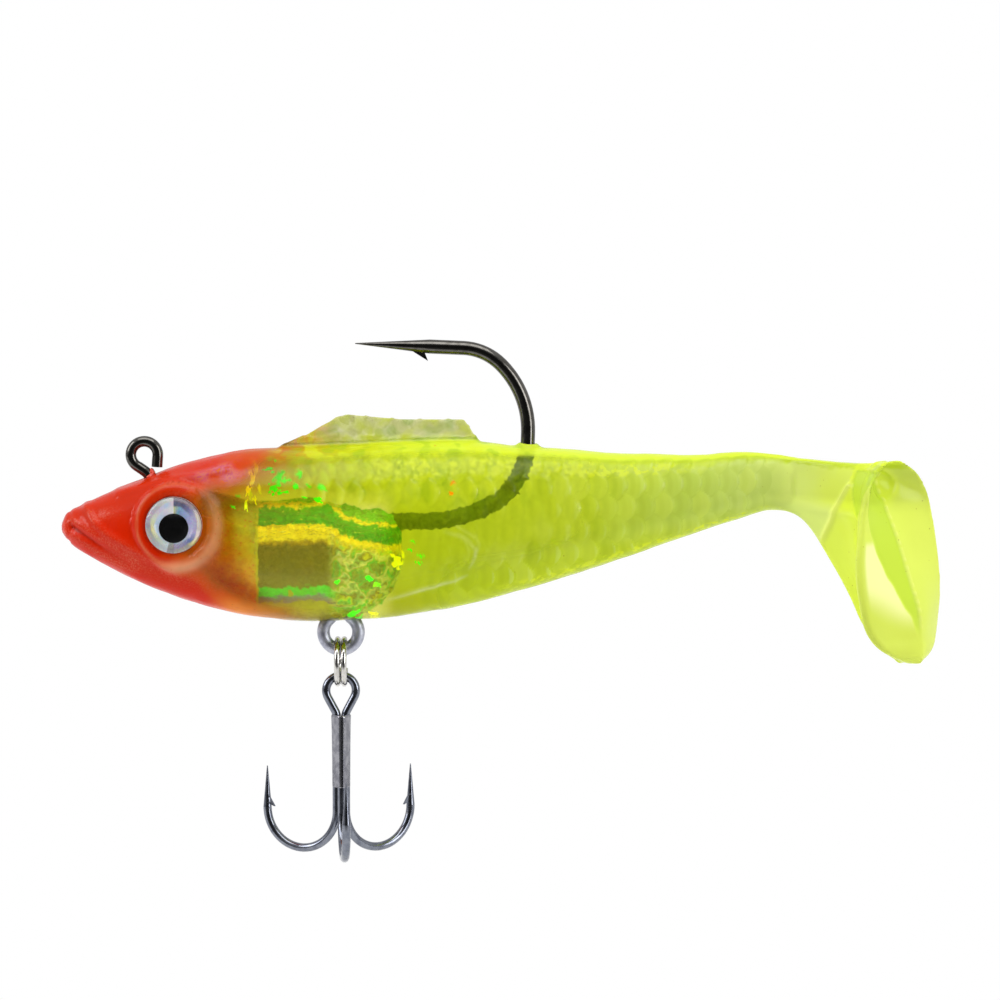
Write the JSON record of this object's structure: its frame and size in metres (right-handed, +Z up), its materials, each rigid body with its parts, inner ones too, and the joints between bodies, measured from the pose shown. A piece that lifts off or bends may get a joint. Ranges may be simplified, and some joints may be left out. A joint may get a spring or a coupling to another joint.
{
  "type": "swimbait",
  "caption": "Soft paddle-tail swimbait with a lead keel, a fixed jig hook, a wire line tie and a treble hook hanging from a belly eye on a split ring.",
  "frame": {"origin": "centre of the line-tie eye, in the lure's mid-plane", "axes": "+X from nose to tail, +Z up with the hook point above the back, -Y towards the left flank"},
  "size_m": [0.0894, 0.0213, 0.0532],
  "materials": {
    "soft_plastic": "translucent glossy soft plastic, red-orange head fading to chartreuse",
    "lead": "dull cast lead",
    "foil": "crinkled holographic foil",
    "hook_nickel": "black nickel over hook wire",
    "ring_nickel": "bright nickel",
    "eye_wire": "dull tinned wire",
    "braze": "braze under black nickel",
    "eye_print": "holographic silver print",
    "pupil": "black print",
    "eye_dome": "clear resin dome"
  },
  "bodies": {
    "lure": {"body_front": "soft_plastic", "lead_weight": "lead", "foil_wrap": "foil", "single_hook": "hook_nickel", "line_tie": "hook_nickel", "belly_eye": "eye_wire", "eye_disc_left": "eye_print", "eye_pupil_left": "pupil", "eye_lens_left": "eye_dome", "eye_disc_right": "eye_print", "eye_pupil_right": "pupil", "eye_lens_right": "eye_dome"},
    "tail": {"tail": "soft_plastic"},
    "split_ring": {"split_ring": "ring_nickel"},
    "treble": {"treble_twin_hook": "hook_nickel", "treble_third_hook": "hook_nickel", "treble_braze": "braze"}
  },
  "joints": [
    {"name": "tail_wag", "type": "hinge", "parent": "lure", "child": "tail", "pos_m": [0.0655, 0, -0.0029], "axis": [0, 0, 1], "range_deg": [-10, 90], "stiffness_Nm_per_rad": 0.0003},
    {"name": "ring_swing", "type": "hinge", "parent": "lure", "child": "split_ring", "pos_m": [0.02008, 0, -0.01825], "axis": [0, 1, 0], "range_deg": [-60, 60]},
    {"name": "treble_swing", "type": "hinge", "parent": "split_ring", "child": "treble", "pos_m": [0.02008, 0, -0.0213], "axis": [1, 0, 0], "range_deg": [-60, 60]}
  ]
}
